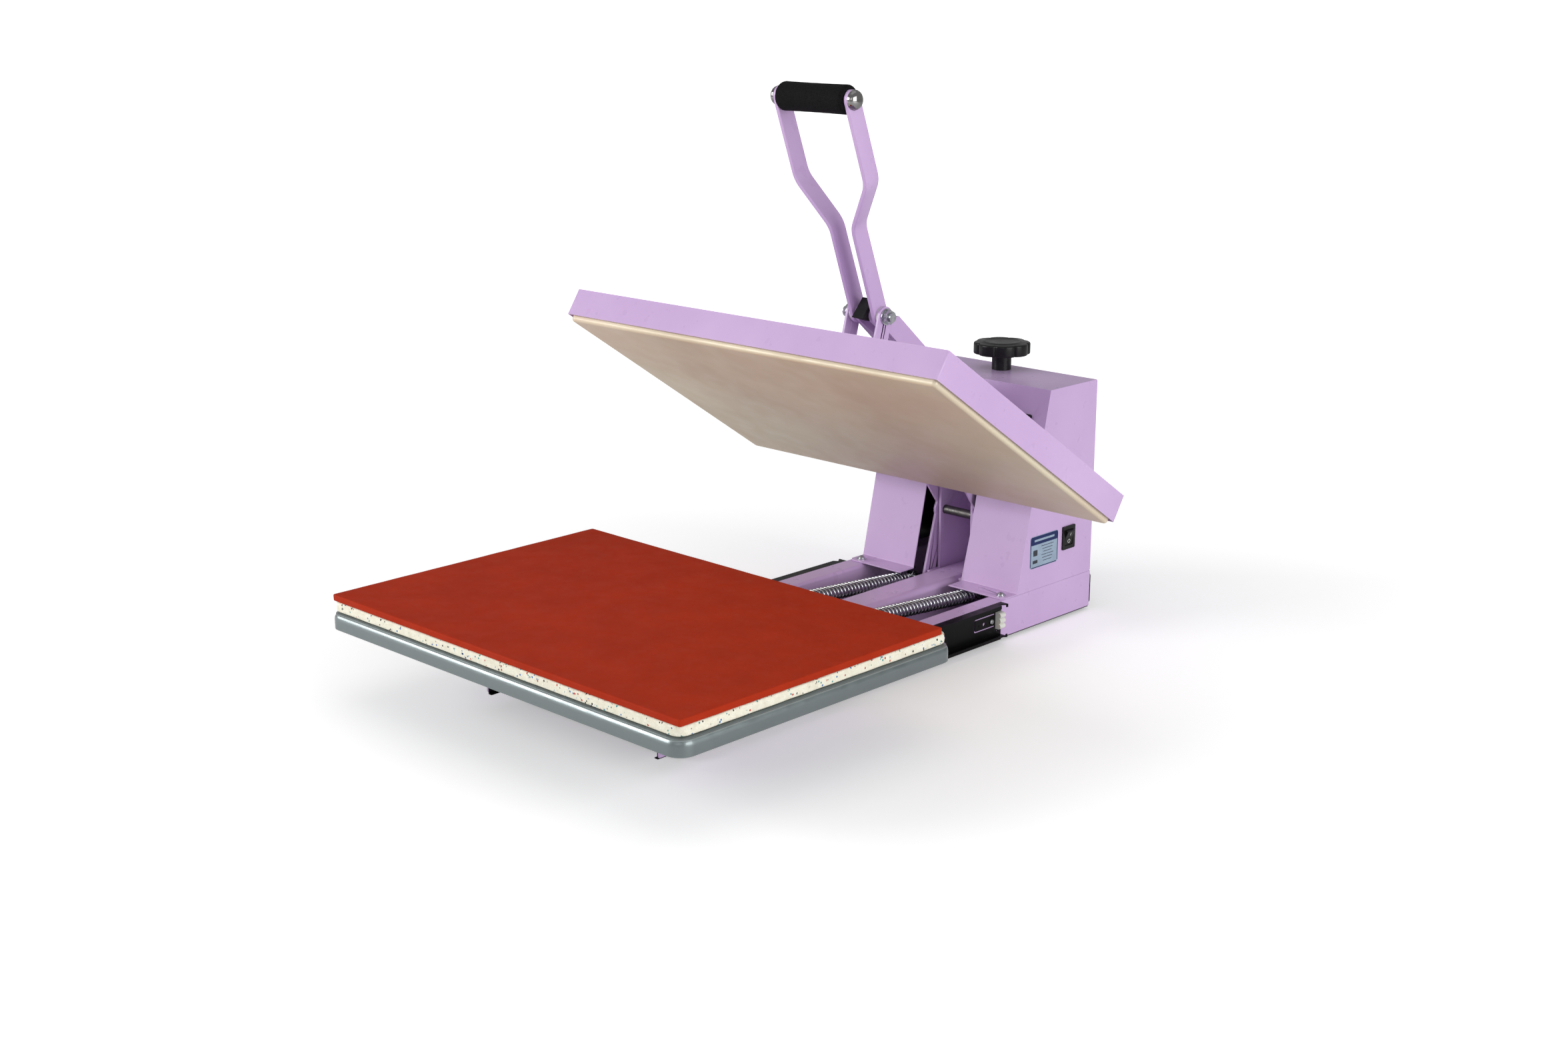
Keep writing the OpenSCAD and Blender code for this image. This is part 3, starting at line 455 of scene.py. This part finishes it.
def ring_stack(bm, box, radius, rings, place=Matrix.Identity(4), caps=(True, True), per_corner=8,
               spacing=None):
    """Skins a stack of rounded rectangles. rings lists (inset, height) from the bottom up."""
    loops = []
    for inset, z in rings:
        points = outline(*box, radius, inset, per_corner, spacing)
        loops.append([bm.verts.new(place @ Vector((x, y, z))) for x, y in points])
    skin(bm, loops)
    if caps[0]:
        bm.faces.new(list(reversed(loops[0])))
    if caps[1]:
        bm.faces.new(loops[-1])
    return loops


def round_edge(radius, z, up=True, steps=5):
    """(inset, height) pairs that turn a wall into a top, or a bottom into a wall."""
    pairs = []
    for i in range(steps + 1):
        a = math.radians(90 * i / steps)
        if up:
            pairs.append((radius * (1 - math.cos(a)), z - radius + radius * math.sin(a)))
        else:
            pairs.append((radius * (1 - math.sin(a)), z + radius - radius * math.cos(a)))
    return pairs


def lathe(bm, profile, steps, place=Matrix.Identity(4), radius_at=None):
    """Turns (radius, height) pairs about Z. radius_at(angle, radius, height) can make lobes."""
    loops = []
    for radius, z in profile:
        loop = []
        for i in range(steps):
            a = 2 * math.pi * i / steps
            r = radius_at(a, radius, z) if radius_at else radius
            loop.append(bm.verts.new(place @ Vector((r * math.cos(a), r * math.sin(a), z))))
        loops.append(loop)
    skin(bm, loops)
    bm.faces.new(list(reversed(loops[0])))
    bm.faces.new(loops[-1])


def tube(bm, path, radius, sides=10):
    """Sweeps a round wire along a list of points, with closed ends."""
    loops = []
    side = None
    for i, point in enumerate(path):
        along = (path[min(i + 1, len(path) - 1)] - path[max(i - 1, 0)]).normalized()
        if side is None:
            side = along.orthogonal().normalized()
        side = (side - along * side.dot(along)).normalized()
        other = along.cross(side)
        loops.append([bm.verts.new(point + radius * (math.cos(a) * side + math.sin(a) * other))
                      for a in (2 * math.pi * k / sides for k in range(sides))])
    skin(bm, loops)
    bm.faces.new(list(reversed(loops[0])))
    bm.faces.new(loops[-1])


def plate(bm, place, width, height, depth, radius=0.0):
    """A thin block on place's XY plane, centred, rising along its Z."""
    box = (-width / 2, -height / 2, width / 2, height / 2)
    ring_stack(bm, box, max(radius, 0.0001), [(0, 0), (0, depth)], place, per_corner=4)


def soften(node, width):
    """Rounds a CAD node's edges with modifiers only."""
    weld = node.modifiers.new("weld", "WELD")
    weld.merge_threshold = 1e-5
    bevel = node.modifiers.new("bevel", "BEVEL")
    bevel.width, bevel.segments = width, 2
    bevel.limit_method, bevel.angle_limit = "ANGLE", math.radians(38)
    bevel.harden_normals = True


# ------------------------------------------------------------------ frames of the moving parts

def about_x(point, degrees):
    """The frame that is turned about a line along X through point."""
    return Matrix.Translation(Vector(point)) @ Matrix.Rotation(math.radians(degrees), 4, "X")


HINGE = JOINTS["platen_hinge"]
OPEN = HINGE["range_deg"][1]
AT_PLATEN = about_x(HINGE["pos_m"], -OPEN)
KNEE = Vector(JOINTS["handle_hinge"]["pos_m"])


def upright(node):
    """The frame that stands at the middle of a node, on the table."""
    lo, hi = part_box(node)
    return Matrix.Translation(((lo.x + hi.x) / 2, (lo.y + hi.y) / 2, 0))


# ------------------------------------------------------------------ pieces

def make_tray():
    """An upturned tray with a rolled edge, and under it the channels that carry the drawer brackets."""
    lo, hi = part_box("drawer_tray")
    box = (lo.x, lo.y, hi.x, hi.y)
    corner, wall, lip, top_t, hem = 20 * MM, 2 * MM, 10 * MM, 3 * MM, 0.6 * MM
    outside = [(wall, lo.z), (wall / 2, lo.z), (0, lo.z + hem)] + round_edge(lip, hi.z, steps=8)
    inside = [(wall, hi.z - top_t), (wall, lo.z)]
    bm = bmesh.new()
    ring_stack(bm, box, corner, outside, caps=(False, True), per_corner=12)
    ring_stack(bm, box, corner, inside, caps=(True, False), per_corner=12)
    piece = new_piece("tray_shell", bm, "drawer", M["grey_metallic"], 50)
    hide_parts("drawer_tray")
    channel_w, short, gap = 34 * MM, 60 * MM, 0.2 * MM
    bm = bmesh.new()
    bracket_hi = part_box("drawer_brackets")[1]
    for side in (-1, 1):
        x = side * (bracket_hi.x - channel_w / 2)
        place = Matrix.Translation(Vector((x, (lo.y + hi.y) / 2, lo.z)))
        plate(bm, place, channel_w, hi.y - lo.y - short, hi.z - lo.z - top_t - gap, 2 * MM)
    new_piece("tray_channels", bm, "drawer", M["grey_metallic"])


def soft_slab(name, node, radius, edge, wave, material, body):
    """A pad with rounded edges whose faces and sides are slightly uneven."""
    lo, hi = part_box(node)
    rings = round_edge(edge, lo.z, up=False, steps=3)
    rings += [(0, lo.z + (hi.z - lo.z) * t) for t in (0.4, 0.6)]
    rings += round_edge(edge, hi.z, steps=4)
    bm = bmesh.new()
    box = (lo.x, lo.y, hi.x, hi.y)
    rim = ring_stack(bm, box, radius, rings, caps=(True, False), spacing=(60, 40))[-1]
    # concentric rings carry the top towards its middle
    centre = (lo + hi) / 2
    loops = [rim]
    for step in (0.985, 0.95, 0.85, 0.6, 0.3):
        shrink = ((centre.x + (v.co.x - centre.x) * step, centre.y + (v.co.y - centre.y) * step, v.co.z)
                  for v in rim)
        loops.append([bm.verts.new(point) for point in shrink])
    skin(bm, loops)
    bm.faces.new(loops[-1])
    # slow waves over the top, and shorter ones round the sides, with x, y and z in mm
    for v in bm.verts:
        x, y, z = v.co / MM
        ripple = math.sin(x * 0.021 + y * 0.017) + 0.6 * math.sin(x * 0.053 - y * 0.041)
        ripple += 0.5 * math.sin(y * 0.09)
        top = (v.co.z - lo.z) / (hi.z - lo.z)
        v.co.z -= wave * top * (0.5 + 0.25 * ripple)
        away = Vector((v.co.x - centre.x, v.co.y - centre.y, 0)).normalized()
        v.co -= away * wave * 0.5 * (1 + math.sin(x * 0.11 + y * 0.13 + z * 0.4))
    piece = new_piece(name, bm, body, material, 60)
    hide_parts(node)


def make_heat_plate():
    """The casting with its coated face down, laid out from the hinge as if the platen were closed."""
    lo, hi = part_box("heat_plate")
    face, depth, rim, corner = -0.7 * MM, 12.9 * MM, 4.6 * MM, 5 * MM
    front, rear = -507.5 * MM, -105.5 * MM
    bm = bmesh.new()
    rings = round_edge(rim, face, up=False, steps=6) + [(0, face + depth)]
    ring_stack(bm, (lo.x, front, hi.x, rear), corner, rings, AT_PLATEN)
    heat = new_piece("heat_plate_casting", bm, "platen", M["coated_aluminium"], 50)
    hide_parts("heat_plate")


def bent_strip(corners, bend, steps):
    """Points and directions along straight runs that meet in bends of a given radius."""
    points = [(corners[0], (corners[1] - corners[0]).normalized())]
    for before, corner, after in zip(corners, corners[1:], corners[2:]):
        a, b = (corner - before).normalized(), (after - corner).normalized()
        turn = a.angle(b)
        reach = bend * math.tan(turn / 2)
        start, end = corner - a * reach, corner + b * reach
        for i in range(steps + 1):
            t = i / steps
            curve = start.lerp(corner, t).lerp(corner.lerp(end, t), t)
            points.append((curve, a.slerp(b, t)))
    points.append((corners[-1], (corners[-1] - corners[-2]).normalized()))
    return points


def make_handle_bars():
    """Two flat bars with rounded ends, set out in two smooth bends each."""
    grip_lo, grip_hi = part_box("foam_grip")
    grip = (grip_lo + grip_hi) / 2 - KNEE
    lean = math.degrees(math.atan2(-grip.y, grip.z))
    reach = math.hypot(grip.y, grip.z)
    half_t, low_x, high_x = 3 * MM, 18.2 * MM, 57.5 * MM
    first_bend, second_bend, bend = 123 * MM, 183 * MM, 34 * MM
    eye, tip, least, edge = 13 * MM, 12 * MM, 2 * MM, 1.3 * MM
    root_w = 12.6 * MM
    corners = [Vector((low_x, 0)), Vector((low_x, first_bend)), Vector((high_x, second_bend)),
               Vector((high_x, reach))]
    # each section: across the press, along the handle, direction and half width
    sections = []
    for a in range(0, 82, 9):
        a = math.radians(a)
        sections.append((low_x, -eye * math.cos(a), (0, 1), max(eye * math.sin(a), least)))
    sections += [(p.x, p.y, (d.x, d.y), root_w if p.y < 1 * MM else tip)
                 for p, d in bent_strip(corners, bend, 10)]
    for a in range(9, 91, 9):
        a = math.radians(a)
        sections.append((high_x, reach + tip * math.sin(a), (0, 1), max(tip * math.cos(a), least)))
    place = about_x(KNEE, lean)
    for side, label in ((-1, "left"), (1, "right")):
        bm = bmesh.new()
        loops = []
        for x, s, (dx, ds), half_w in sections:
            loop = []
            for cx, cy, start in ((half_t, half_w, 0), (-half_t, half_w, 90), (-half_t, -half_w, 180),
                                  (half_t, -half_w, 270)):
                for i in range(4):
                    a = math.radians(start + 30 * i)
                    u = cx - math.copysign(edge, cx) + edge * math.cos(a)
                    v = cy - math.copysign(edge, cy) + edge * math.sin(a)
                    loop.append(bm.verts.new(place @ Vector((side * (x + u * ds), v, s - u * dx))))
            loops.append(loop)
        skin(bm, loops)
        bm.faces.new(loops[0])
        bm.faces.new(loops[-1])
        bar = new_piece("handle_bar_" + label, bm, "handle", M["painted_steel"], 50)
        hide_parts("handle_bars")


def make_grip():
    """A foam sleeve, slightly waisted between faint rings, with round ends."""
    lo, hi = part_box("foam_grip")
    half, radius = (hi.x - lo.x) / 2, (hi.z - lo.z) / 2
    place = Matrix.Translation((lo + hi) / 2) @ Matrix.Rotation(math.pi / 2, 4, "Y")
    bore, fillet, waist, ring = 11.2 * MM, 5 * MM, 0.35 * MM, 0.08 * MM
    straight = half - fillet
    corner = []
    for a in range(0, 91, 15):
        a = math.radians(a)
        corner.append((radius - fillet * (1 - math.sin(a)), straight + fillet * math.cos(a)))
    profile = [(bore, -half)] + [(across, -along) for across, along in corner]
    for i in range(1, 12):
        t = i / 12
        profile.append((radius - waist * math.sin(math.pi * t) - ring * (i % 2), straight * (2 * t - 1)))
    profile += list(reversed(corner)) + [(bore, half)]
    bm = bmesh.new()
    lathe(bm, profile, 64, place)
    piece = new_piece("grip_sleeve", bm, "handle", M["grip_foam"], 50)
    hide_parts("foam_grip")


def make_dome_caps():
    lo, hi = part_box("foam_grip")
    centre = (lo + hi) / 2
    seat, flange, dome = 60.5 * MM, 12 * MM, 11.5 * MM
    profile = [(flange, 0), (flange, 1.6 * MM), (dome, 2.1 * MM)]
    for a in range(0, 88, 8):
        a = math.radians(a)
        profile.append((dome * math.cos(a), 2.3 * MM + 6.4 * MM * math.sin(a)))
    bm = bmesh.new()
    for side in (-1, 1):
        turned = Matrix.Rotation(side * math.pi / 2, 4, "Y") @ Matrix.Translation((0, 0, seat))
        lathe(bm, profile, 48, Matrix.Translation((0, centre.y, centre.z)) @ turned)
    nuts = new_piece("dome_caps", bm, "handle", M["chrome"], 40)
    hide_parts("dome_nuts")


def make_knob():
    """A moulded disc with eight lobes on a round stem, with a raised ring on top."""
    lo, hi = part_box("pressure_knob")
    top, outer = hi.z, (hi.x - lo.x) / 2
    disc = top - 17.2 * MM
    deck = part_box("housing_cover")[1].z
    stem, groove, foot, crown, sink = 13.2 * MM, 3.4 * MM, 1.6 * MM, 2.6 * MM, 1.4 * MM
    ring = 0.66 * outer

    def lobes(angle, radius, z):
        """Eight broad lobes with shallow grooves, which fade out towards the middle."""
        if z <= disc - 1 * MM:
            return radius
        share = max(0.0, min(1.0, (radius - 0.62 * outer) / (0.3 * outer)))
        return radius - share * groove * (1 - abs(math.cos(4 * angle)) ** 0.55)

    profile = [(stem, deck + 0.5 * MM), (stem, disc - 2 * MM), (stem + 2 * MM, disc - 0.6 * MM),
               (outer - 1.5 * foot, disc)]
    for a in (20, 45, 70, 90):
        a = math.radians(a)
        profile.append((outer - foot * (1 - math.sin(a)), disc + foot * (1 - math.cos(a))))
    for a in range(0, 91, 15):
        a = math.radians(a)
        profile.append((outer - crown * (1 - math.cos(a)), top - sink - crown * (1 - math.sin(a))))
    profile += [(ring + 1.4 * MM, top - 1.0 * MM), (ring, top - 0.2 * MM), (ring - 1.2 * MM, top),
                (ring - 3 * MM, top - 0.7 * MM), (0.4 * MM, top - 0.9 * MM)]
    bm = bmesh.new()
    lathe(bm, profile, 160, upright("pressure_knob"), lobes)
    knob = new_piece("knob_moulding", bm, "knob", M["black_plastic"], 45)
    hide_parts("pressure_knob")


def make_pressure_screw():
    """The knob's threaded rod, with a collar that rests on the screw bridge."""
    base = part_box("pressure_knob")[0].z
    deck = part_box("housing_cover")[1].z
    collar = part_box("screw_bridge")[1].z + 0.3 * MM
    pitch, crest, root, plain = 2 * MM, 7 * MM, 6.2 * MM, 14 * MM
    collar_r, collar_h = 11 * MM, 6 * MM
    profile = [(root, base)]
    z = base + 1 * MM
    while z < collar - plain:
        profile += [(root, z), (crest, z + pitch * 0.4), (crest, z + pitch * 0.6)]
        z += pitch
    profile += [(root, z), (crest, z + 1 * MM), (crest, collar), (collar_r, collar),
                (collar_r, collar + collar_h), (crest, collar + collar_h), (crest, deck + 0.8 * MM)]
    bm = bmesh.new()
    lathe(bm, profile, 36, upright("pressure_knob"))
    new_piece("pressure_screw", bm, "knob", M["zinc_steel"], 40)


def make_springs():
    """Extension springs drawn open, with a loop at each end, which stretch between the base and the lever."""
    wire, outer, pitch = 1.7 * MM, 10 * MM, 6.8 * MM
    x_pin = 57 * MM
    anchor = Vector((0, -28 * MM, 65 * MM))
    pin = AT_PLATEN @ Vector((0, 30.9 * MM, -94.7 * MM))
    loop_a, loop_b = 5.6 * MM, 6.6 * MM
    along, length = (pin - anchor).normalized(), (pin - anchor).length
    across = Vector((1, 0, 0))
    up = across.cross(along).normalized()
    radius = outer - wire
    start, stop = 2 * loop_a + 6 * MM, length - 2 * loop_b - 4 * MM
    per_turn, loop_steps = 18, 16
    count = int((stop - start) / pitch * per_turn)
    for side, label in ((-1, "left"), (1, "right")):
        origin = anchor + across * side * x_pin
        end = origin + along * length
        path = []
        # front loop round the anchor bar, in the plane of the spring's axis
        for i in range(loop_steps, -1, -1):
            a = math.radians(-60 + 300 * i / loop_steps)
            path.append(origin - along * loop_a * math.cos(a) + up * loop_a * math.sin(a))
        for i in range(count + 1):
            a = 2 * math.pi * i / per_turn
            s = start + (stop - start) * i / count
            path.append(origin + along * s + across * radius * math.sin(a) + up * radius * math.cos(a))
        for i in range(loop_steps + 1):
            a = math.radians(-120 + 300 * i / loop_steps)
            path.append(end - along * loop_b * math.cos(a) + up * loop_b * math.sin(a))
        bm = bmesh.new()
        tube(bm, path, wire, 8)
        spring = new_piece("spring_" + label, bm, None, M["zinc_steel"], 70)
        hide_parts("counter_springs")
        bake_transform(spring)


def make_label():
    """Plain bars in place of the label's lettering."""
    lo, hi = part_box("label_plate")
    centre = Vector((hi.x, (lo.y + hi.y) / 2, (lo.z + hi.z) / 2))
    facing = Matrix(((0, 0, 1, 0), (1, 0, 0, 0), (0, 1, 0, 0), (0, 0, 0, 1)))
    width, height = hi.y - lo.y, hi.z - lo.z

    def mark(bm, x, y, w, h, radius=0.0, lift=0.0):
        place = Matrix.Translation(centre) @ facing @ Matrix.Translation((x, y, lift))
        plate(bm, place, w, h, 0.08 * MM, radius)

    blue = tinted("label_blue", linear(16, 34, 88), 0.35, Specular_IOR_Level=0.3)
    ink = tinted("label_ink", linear(40, 44, 54), 0.45)
    bm = bmesh.new()
    band, border = height * 0.26, 1.2 * MM
    band_y = height / 2 - band / 2 - 0.5 * MM
    mark(bm, 0, band_y, width - border, band, 2.6 * MM)
    mark(bm, 0, -height / 2 + 1 * MM, width - 6 * MM, border)
    for side in (-1, 1):
        mark(bm, side * (width / 2 - 1 * MM), -1 * MM, border, height - 7 * MM)
    new_piece("label_border", bm, "base", blue)
    bm = bmesh.new()
    mark(bm, 0, band_y, width * 0.72, 2.8 * MM, 0.6 * MM, 0.1 * MM)
    new_piece("label_header_bar", bm, "base", M["label_foil"])
    bm = bmesh.new()
    for i in range(6):
        mark(bm, 7 * MM, height / 2 - band - (4.2 + 4.1 * i) * MM, (26 - 4 * (i % 3)) * MM, 0.8 * MM)
    mark(bm, -19 * MM, -1.2 * MM, 9 * MM, 8 * MM, 1 * MM)
    mark(bm, -19 * MM, -13.2 * MM, 10 * MM, 4.4 * MM, 0.6 * MM)
    new_piece("label_bars", bm, "base", ink)


def make_rocker_marks():
    """A ring on the rocker's lower half and a line on its upper half."""
    lo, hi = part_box("rocker")
    y, z = (lo.y + hi.y) / 2, (lo.z + hi.z) / 2
    across = Vector((0, 1, 0))
    line_w, ring_r, line_half = 0.42 * MM, 2.4 * MM, 2.1 * MM
    # the slopes of the two halves of the face, and the middle of each mark on them
    lower, upper = Vector((1.37, 0, 12)).normalized(), Vector((5.3, 0, 12)).normalized()
    ring_at = Vector((lo.x + 8.81 * MM, y, z - 5.2 * MM)) + across.cross(lower) * 0.05 * MM
    line_at = Vector((lo.x + 11.52 * MM, y, z + 4.8 * MM)) + across.cross(upper) * 0.02 * MM
    bm = bmesh.new()
    ring = [ring_at + (math.cos(a) * across + math.sin(a) * lower) * ring_r
            for a in (2 * math.pi * k / 28 for k in range(29))]
    tube(bm, ring, line_w, 6)
    tube(bm, [line_at + upper * t * line_half for t in (-1, -0.5, 0, 0.5, 1)], line_w, 6)
    paint = tinted("mark_white", (0.75, 0.75, 0.73), 0.5)
    new_piece("rocker_marks", bm, "switch", paint, 60)


def make_digits():
    """Two rows of lit seven-segment digits on the controller's display."""
    lo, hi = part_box("controller_display")
    centre = (lo + hi) / 2
    lean = math.atan2(hi.y - lo.y - 0.9 * MM, hi.z - lo.z)
    place = about_x(centre, 90 - math.degrees(lean)) @ Matrix.Translation((0, 0, 0.5 * MM))
    lit = {"1": "bc", "8": "abcdefg", "0": "abcdef", "6": "acdefg", "5": "acdfg"}
    # each segment: its place in the digit, and whether it lies along it or stands up
    segments = {"a": (0, 1, 1, 0), "b": (0.5, 0.5, 0, 1), "c": (0.5, -0.5, 0, 1), "d": (0, -1, 1, 0),
                "e": (-0.5, -0.5, 0, 1), "f": (-0.5, 0.5, 0, 1), "g": (0, 0, 1, 0)}
    rows = (("temperature_digits", "180", 6.6 * MM, (1.0, 0.05, 0.02)),
            ("time_digits", "065", -6.6 * MM, (0.1, 0.9, 0.2)))
    size, stroke, step, lift = 4.6 * MM, 1.0 * MM, 11 * MM, 0.1 * MM
    for name, text, y, colour in rows:
        bm = bmesh.new()
        for n, digit in enumerate(text):
            for letter in lit[digit]:
                cx, cy, lying, standing = segments[letter]
                spot = Matrix.Translation(((n - 1) * step + cx * size * 1.1, y + cy * size, 0))
                width, height = stroke + lying * size * 0.9, stroke + standing * size * 0.75
                plate(bm, place @ spot, width, height, lift, 0.4 * MM)
        new_piece(name, bm, "base", glowing(name, colour, 2.5))


# ------------------------------------------------------------------ putting it together

def node_slot(node):
    return next(s["material_slot"] for s in frame["record"]["subparts"] if s["node"] == node)


# the edge radius of each CAD node that is softened, in mm
BEVELS = {"housing_cover": 0.8, "rear_cover": 0.5, "side_rails": 0.4, "centre_beam": 0.4, "platen_cover": 1.1,
          "arm_plates": 0.8, "press_links": 0.7, "hinge_brackets": 0.7, "tower_plates": 0.6, "rocker": 0.6,
          "controller_case": 0.6, "rocker_frame": 0.5, "slide_outers": 0.25, "slide_middles": 0.25,
          "slide_inners": 0.25, "drawer_brackets": 0.6, "stop_block": 1.2, "slide_bumpers": 0.7,
          "rear_end_cap": 0.8, "power_inlet": 0.5, "arm_web": 0.5}
# the CAD nodes whose look differs from that of their slot: the housing with painted shade on its inner faces, and
# the main shaft darkened as painted shade
OWN_LOOK = {"housing_cover": "housing_with_painted_shade", "main_shaft": "shade_darkened_steel"}


def dress_nodes():
    for name, node in NODES.items():
        node.data.materials.clear()
        node.data.materials.append(M[OWN_LOOK.get(name) or node_slot(name)])
        if name in BEVELS:
            soften(node, BEVELS[name] * MM)


make_camera()
M = make_materials()
make_studio()
dress_nodes()
make_tray()
soft_slab("foam_layer", "foam_pad", 14 * MM, 2.2 * MM, 0.5 * MM, M["speckled_foam"], "drawer")
soft_slab("silicone_sheet", "silicone_pad", 3 * MM, 1.0 * MM, 0.25 * MM, M["red_silicone"], "drawer")
make_heat_plate()
make_handle_bars()
make_grip()
make_dome_caps()
make_knob()
make_pressure_screw()
make_springs()
make_label()
make_rocker_marks()
make_digits()
